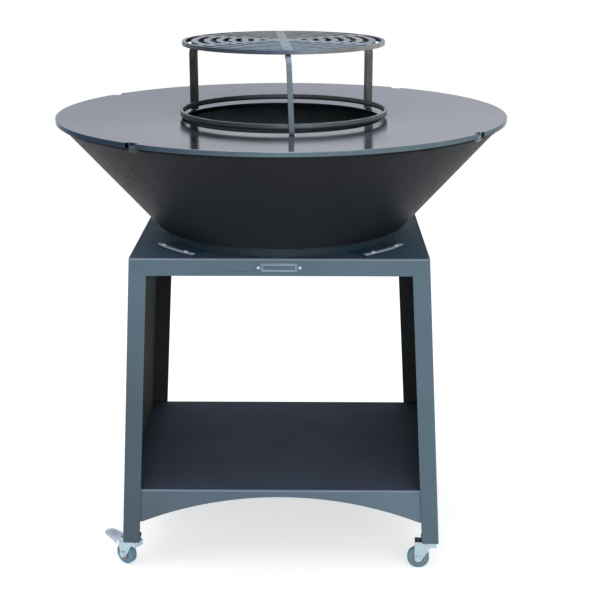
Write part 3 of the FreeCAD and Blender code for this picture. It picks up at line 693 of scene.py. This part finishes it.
def add_piece(bm, name, finish, body):
    """Turns a filled bmesh into a piece that rides on a body."""
    bmesh.ops.recalc_face_normals(bm, faces=bm.faces)
    mesh = bpy.data.meshes.new(name)
    bm.to_mesh(mesh)
    bm.free()
    mesh.shade_smooth()
    mesh.set_sharp_from_angle(angle=math.radians(SMOOTH_ANGLE))
    mesh.materials.append(finish)
    piece = bpy.data.objects.new(name, mesh)
    bpy.context.scene.collection.objects.link(piece)
    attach(piece, body)
    return piece


def bridge(bm, rings, closed):
    """Joins rings of equally many corners, one after another, and caps the ends unless they meet."""
    count = len(rings[0])
    pairs = list(zip(rings, rings[1:]))
    if closed:
        pairs.append((rings[-1], rings[0]))
    for lower, upper in pairs:
        for i in range(count):
            j = (i + 1) % count
            bm.faces.new((lower[i], lower[j], upper[j], upper[i]))
    if not closed:
        bm.faces.new(rings[0])
        bm.faces.new(rings[-1])


def hex_reach(across_flats, turn):
    """Distance from a hexagon's centre to its side in a direction."""
    return across_flats / 2 / math.cos((turn + math.pi / 6) % (math.pi / 3) - math.pi / 6)


def spun(bm, profile, place, segments, closed=False):
    """A body turned about a matrix's Z from (radius, height) steps; a third value marks a hexagon."""
    rings = []
    for size, height, *hexagon in profile:
        ring = []
        for i in range(segments):
            turn = 2 * math.pi * i / segments
            reach = hex_reach(size, turn) if hexagon else size
            corner = Vector((reach * math.cos(turn), reach * math.sin(turn), height))
            ring.append(bm.verts.new(place @ corner))
        rings.append(ring)
    bridge(bm, rings, closed)


def straight_path(start, end, step=BEAD_STEP):
    """Points along a line."""
    count = max(BEAD_LEAST_STEPS, round((end - start).length / step))
    return [start.lerp(end, i / count) for i in range(count + 1)]


def arc_path(radius, z, middle, length):
    """Points along a level arc of a length, centred at an angle from the front."""
    half = math.degrees(length / radius) / 2
    count = max(BEAD_LEAST_STEPS, round(length / BEAD_STEP))
    return [polar(radius, middle - half + 2 * half * i / count, z) for i in range(count + 1)]


def bead(bm, path, radius, ripple=BEAD_RIPPLE, closed=False):
    """A round bead along a path, with a ripple's rise and fall and tapered ends."""
    rings, run, last = [], 0.0, len(path) - 1
    turns = [2 * math.pi * k / BEAD_SIDES for k in range(BEAD_SIDES)]
    for i, point in enumerate(path):
        ahead = path[(i + 1) % len(path)] if closed else path[min(i + 1, last)]
        behind = path[i - 1] if closed else path[max(i - 1, 0)]
        along = (ahead - behind).normalized()
        run += (point - path[i - 1]).length if i else 0.0
        across = Vector((0, 0, 1)) if abs(along.z) < UPRIGHT else Vector((1, 0, 0))
        side = along.cross(across).normalized()
        up = side.cross(along)
        size = radius
        if ripple:
            size *= RIPPLE_MIDDLE + RIPPLE_SWING * math.sin(2 * math.pi * run / ripple)
        if not closed:
            size *= min(1.0, TAPER_START + TAPER_STEP * min(i, last - i))
        spokes = [side * math.cos(turn) + up * math.sin(turn) for turn in turns]
        rings.append([bm.verts.new(point + spoke * size) for spoke in spokes])
    bridge(bm, rings, closed)


def box_between(bm, place, low, high):
    """A block between two corners in the local space of a matrix."""
    rings = []
    for z in (low[2], high[2]):
        flat = ((low[0], low[1]), (high[0], low[1]), (high[0], high[1]), (low[0], high[1]))
        rings.append([bm.verts.new(place @ Vector((x, y, z))) for x, y in flat])
    bridge(bm, rings, False)


# Welds

def weld_bowl(finishes):
    """Tacks under the bowl's lower edge and stitches under its rim ring."""
    low_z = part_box("bowl_cone")[0].z
    low = [vertex.co for vertex in nodes["bowl_cone"].data.vertices if vertex.co.z < low_z + SAME_LEVEL]
    edge = max(math.hypot(point.x, point.y) for point in low)
    tacks = bmesh.new()
    for i in range(TACK_COUNT):
        angle = TACK_PHASE + 360 * i / TACK_COUNT
        bead(tacks, arc_path(edge - BEAD_RADIUS / 2, low_z, angle, TACK_LENGTH), BEAD_RADIUS)
    add_piece(tacks, "bowl_floor_tacks", finishes["bowl_paint"], "stand")
    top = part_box("bowl_cone")[1]
    stitches = bmesh.new()
    for i in range(RIM_STITCH_COUNT):
        angle = 360 * (i + 0.5) / RIM_STITCH_COUNT
        path = arc_path(top.x + BEAD_RADIUS / 3, top.z - BEAD_RADIUS / 3, angle, RIM_STITCH_LENGTH)
        bead(stitches, path, BEAD_RADIUS)
    add_piece(stitches, "bowl_rim_stitches", finishes["bowl_paint"], "stand")


def weld_feet(finishes):
    """A fillet where each foot tab meets the collar, and stitches between the tabs on the stand top."""
    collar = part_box("bowl_collar")[1].x
    fillets = bmesh.new()
    for tab in islands("bowl_foot_tabs"):
        low, high = corners(tab)
        middle = (low + high) / 2
        angle = math.degrees(math.atan2(middle.x, -middle.y))
        upper = [point for point in tab if point.z > high.z - SAME_LEVEL]
        inner = [point for point in upper if math.hypot(point.x, point.y) < collar + TOUCHING]
        turns = [middle.xy.angle_signed(point.xy) for point in inner]
        length = (max(turns) - min(turns)) * collar
        bead(fillets, arc_path(collar, high.z, angle, length), BEAD_RADIUS)
        bead(fillets, arc_path(collar, low.z, angle + FOOT_STITCH_TURN, length / 2), BEAD_RADIUS)
    add_piece(fillets, "foot_fillets", finishes["tab"], "stand")


def weld_shelf(finishes):
    """Stitches under the shelf along both side panels."""
    shelf_low, shelf_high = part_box("shelf")
    z = max(face.center.z for face in nodes["shelf"].data.polygons if face.normal.z < DOWNWARD)
    stitches = bmesh.new()
    for side in (-1, 1):
        x = side * (shelf_high.x - BEAD_RADIUS / 3)
        for i in range(SHELF_STITCH_COUNT):
            y = shelf_low.y + (shelf_high.y - shelf_low.y) * (i + 0.5) / SHELF_STITCH_COUNT
            start, end = [Vector((x, y + half * SHELF_STITCH_LENGTH / 2, z)) for half in (-1, 1)]
            bead(stitches, straight_path(start, end), BEAD_RADIUS)
    add_piece(stitches, "shelf_stitches", finishes["stand_paint"], "stand")


def weld_lugs(finishes):
    """Fine beads down both ends of each lug on the bowl's rim."""
    bead_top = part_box("bowl_rim_ring")[1].z - FINE_BEAD_RADIUS
    beads = bmesh.new()
    for lug in islands("plancha_lugs"):
        bead_low = corners(lug)[0].z
        inner = sorted(lug, key=lambda point: math.hypot(point.x, point.y))[:4]
        for place in {(round(point.x, PLAN_DIGITS), round(point.y, PLAN_DIGITS)) for point in inner}:
            start, end = [Vector((*place, z)) for z in (bead_low, bead_top)]
            bead(beads, straight_path(start, end), FINE_BEAD_RADIUS)
    add_piece(beads, "lug_beads", finishes["weld"], "stand")


def weld_riser(finishes):
    """Beads where the legs meet the base ring and where their arms meet the grid."""
    ring_low, ring_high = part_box("riser_base_ring")
    grid_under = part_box("cooking_grid")[0].z
    axis = (ring_low + ring_high) / 2
    ring_radius = (ring_high.y - ring_low.y) / 2
    beads = bmesh.new()
    for place in ("front", "right", "left"):
        points = [vertex.co for vertex in nodes["riser_leg_" + place].data.vertices]
        arm = [point for point in points if point.z > grid_under - SAME_LEVEL]
        tip, heel = [choose(arm, key=lambda point: (point - axis).xy.length) for choose in (min, max)]
        outward = Vector(((tip + heel) / 2 - axis).xy.normalized().to_tuple() + (0,))
        sideways = Vector((-outward.y, outward.x, 0))
        reach = steps([(point - axis).dot(outward) for point in arm])
        half = max((point - axis).dot(sideways) for point in arm)
        ring_level = [point for point in points if ring_low.z < point.z < ring_high.z + TOUCHING]
        for side in (-1, 1):
            for arm_end, offsets in ((reach[0], ARM_TIP_BEAD), (reach[-1], ARM_HEEL_BEAD)):
                path = [axis + outward * (arm_end + offset) + sideways * side * half for offset in offsets]
                for point in path:
                    point.z = grid_under - FINE_BEAD_RADIUS / 3
                bead(beads, straight_path(*path), FINE_BEAD_RADIUS)
            edge = max((side * (point - axis).dot(sideways) for point in ring_level), default=half)
            foot = axis + outward * math.sqrt(ring_radius ** 2 - edge ** 2) + sideways * side * edge
            start, end = [Vector((foot.x, foot.y, z)) for z in (ring_low.z, ring_high.z)]
            bead(beads, straight_path(start, end), FINE_BEAD_RADIUS)
    add_piece(beads, "riser_beads", finishes["weld"], "riser")


# Fasteners and the name plate

def make_screws(finishes):
    """Button-head screws with hexagon sockets and a chamfered thread end."""
    bm = bmesh.new()
    for screw in islands("strip_screws"):
        low, high = corners(screw)
        radius, centre = (high.x - low.x) / 2, (low + high) / 2
        reach = [(math.hypot(p.x - centre.x, p.y - centre.y), p.z) for p in screw]
        shank = min(steps(r for r, z in reach if z < low.z + SAME_LEVEL))
        head_low = min(z for r, z in reach if r > HEAD_SHARE * radius)
        height = high.z - head_low
        thread_end = low.z - head_low
        chamfer = shank * THREAD_CHAMFER
        profile = [(shank - chamfer, thread_end), (shank, thread_end + chamfer), (shank, 0), (radius, 0)]
        for turn in map(math.radians, SCREW_DOME):
            profile.append((radius * math.cos(turn), height * math.sin(turn) + SCREW_RIM * height))
        top = profile[-1][1]
        for flats, depth in zip(SOCKET_FLATS, (0, SOCKET_DEPTH)):
            profile.append((shank * flats, top - depth * height, "hex"))
        point_width, point_depth = DRILL_POINT
        profile.append((shank * point_width, top - point_depth * height))
        spun(bm, profile, Matrix.Translation((centre.x, centre.y, head_low)), SCREW_CORNERS)
    piece = add_piece(bm, "socket_screws", finishes["strip_zinc"], "stand")
    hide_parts("strip_screws")


def make_rivets(finishes):
    """Blind rivets with a flat-topped dome and the broken mandrel in its middle."""
    bm = bmesh.new()
    for rivet in islands("name_plate_rivets"):
        low, high = corners(rivet)
        radius, centre = (high.x - low.x) / 2, (low + high) / 2
        reach = [(math.hypot(p.x - centre.x, p.z - centre.z), p.y) for p in rivet]
        shank = max(r for r, y in reach if y > high.y - SAME_LEVEL)
        seat = max(y for r, y in reach if r > HEAD_SHARE * radius)
        height = seat - low.y
        profile = [(shank, seat - high.y), (shank, 0)]
        profile += [(radius * across, height * up) for across, up in RIVET_HEAD]
        place = Matrix.Translation((centre.x, seat, centre.z)) @ Matrix.Rotation(math.pi / 2, 4, "X")
        spun(bm, profile, place, RIVET_CORNERS)
    piece = add_piece(bm, "blind_rivets", finishes["zinc"], "stand")
    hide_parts("name_plate_rivets")


def rounded_frame(left, right, bottom, top, y, corner):
    """Points round an upright rectangle with round corners."""
    middles = ((right - corner, top - corner), (left + corner, top - corner),
               (left + corner, bottom + corner), (right - corner, bottom + corner))
    path = []
    for i, (x, z) in enumerate(middles):
        for step in QUARTER:
            turn = math.radians(90 * i + step)
            path.append(Vector((x + corner * math.cos(turn), y, z + corner * math.sin(turn))))
    return path


def make_tag_border(finishes):
    """Two fine raised frames, one inside the other, on the bare name plate between its rivets."""
    low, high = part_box("name_plate")
    rivets = [corners(rivet) for rivet in islands("name_plate_rivets")]
    left, right = min(rivet[1].x for rivet in rivets), max(rivet[0].x for rivet in rivets)
    bm = bmesh.new()
    for i in range(1, BORDER_COUNT + 1):
        inset, corner = i * BORDER_INSET, BORDER_INSET / i
        path = rounded_frame(left + inset, right - inset, low.z + inset, high.z - inset, low.y, corner)
        bead(bm, path, BORDER_RADIUS, ripple=None, closed=True)
    add_piece(bm, "name_plate_border", finishes["zinc"], "stand")


# Castors

def make_tyre(place, finishes):
    """A tyre with a crowned tread, two grooves and recessed side walls."""
    wheel = joint_frame(place + "_roll")
    node = "castor_" + place + "_tyre"
    points = seen_from(wheel, node)
    outer = max(point.xy.length for point in points)
    inner = min(point.xy.length for point in points)
    half = max(point.z for point in points)
    depth = outer - inner
    shoulder, groove, recess = depth / 2, depth * GROOVE_DEPTH, depth * WALL_RECESS
    flat = half - shoulder
    groove_sizes = (outer, outer - groove, outer - groove, outer)
    side = [(outer, 0)] + [(size, flat * share) for size, share in zip(groove_sizes, GROOVE_CORNERS)]
    for turn in map(math.radians, QUARTER):
        side.append((outer - shoulder + shoulder * math.cos(turn), flat + shoulder * math.sin(turn)))
    wall_low, wall_high = [inner + depth * share for share in WALL_INSIDE]
    side += [(outer - depth * WALL_OUTSIDE, half - recess), (wall_low, half - recess),
             (wall_high, half), (inner, half)]
    profile = side + [(radius, -z) for radius, z in reversed(side[1:])]
    bm = bmesh.new()
    spun(bm, profile, wheel, TYRE_CORNERS, closed=True)
    piece = add_piece(bm, "tyre_" + place, finishes["tyre"], "wheel_" + place)
    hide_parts(node)


def make_hub_ribs(place, finishes):
    """Radial ribs between boss and rim in the hollows on both sides of a hub."""
    wheel = joint_frame(place + "_roll")
    points = seen_from(wheel, "castor_" + place + "_hub")
    # Outwards from the axis the groups are the bore, the boss, the rim's inside and its outside
    groups = close_groups(point.xy.length for point in points)
    boss, rim = [sum(group) / len(group) for group in groups[1:3]]
    web, side = steps(point.z for point in points if point.z > 0)[:2]
    bm = bmesh.new()
    for face in (-1, 1):
        for i in range(RIB_COUNT):
            turned = wheel @ Matrix.Rotation(2 * math.pi * (i + 0.5) / RIB_COUNT, 4, "Z")
            low_z, high_z = sorted((face * (web - RIB_SINK), face * (side - RIB_SINK)))
            low = (boss - RIB_SINK, -RIB_THICKNESS / 2, low_z)
            box_between(bm, turned, low, (rim + RIB_SINK, RIB_THICKNESS / 2, high_z))
    piece = add_piece(bm, "hub_ribs_" + place, finishes["hub_plastic"], "wheel_" + place)
    bevel = piece.modifiers.new("round_edges", "BEVEL")
    bevel.width, bevel.segments = RIB_THICKNESS / 6, ROUND_STEPS


def make_pedal_ridges(place, finishes):
    """Grip ridges across the top of a brake pedal."""
    pin = joint_frame(place + "_brake")
    points = seen_from(pin, "castor_" + place + "_brake_pedal")
    tip = max(point.xy.length for point in points)
    at_tip = [point for point in points if point.xy.length > tip - PEDAL_TIP]
    middle = sum((point.xy for point in at_tip), Vector((0, 0))) / len(at_tip)
    along = Vector((*middle.normalized(), 0))
    over = Vector((-along.y, along.x, 0))
    if (pin.to_3x3() @ over).z < 0:
        over = -over
    half = max(point.z for point in points)
    top = max(point.dot(over) for point in at_tip)
    reach = Vector((0, 0, half * RIDGE_SHARE))
    bm = bmesh.new()
    for i in range(RIDGE_COUNT):
        centre = along * (tip - half - RIDGE_PITCH * (i - 0.5)) + over * top
        path = straight_path(pin @ (centre - reach), pin @ (centre + reach), RIDGE_PITCH / 4)
        bead(bm, path, RIDGE_RADIUS, ripple=None)
    add_piece(bm, "pedal_ridges_" + place, finishes["pedal_steel"], "brake_" + place)


def make_castor_details(finishes):
    for place in ("front_left", "front_right", "rear_left", "rear_right"):
        make_tyre(place, finishes)
        make_hub_ribs(place, finishes)
        if place + "_brake" in joints:
            make_pedal_ridges(place, finishes)


bpy.context.scene.view_settings.view_transform = "Standard"
make_camera()
make_world()
make_lamp("top_softbox", *TOP_LAMP)
make_lamp("front_softbox", *FRONT_LAMP)
make_floor()
finishes = make_finishes()
dress_nodes(finishes)
weld_bowl(finishes)
weld_feet(finishes)
weld_shelf(finishes)
weld_lugs(finishes)
weld_riser(finishes)
make_screws(finishes)
make_rivets(finishes)
make_tag_border(finishes)
make_castor_details(finishes)
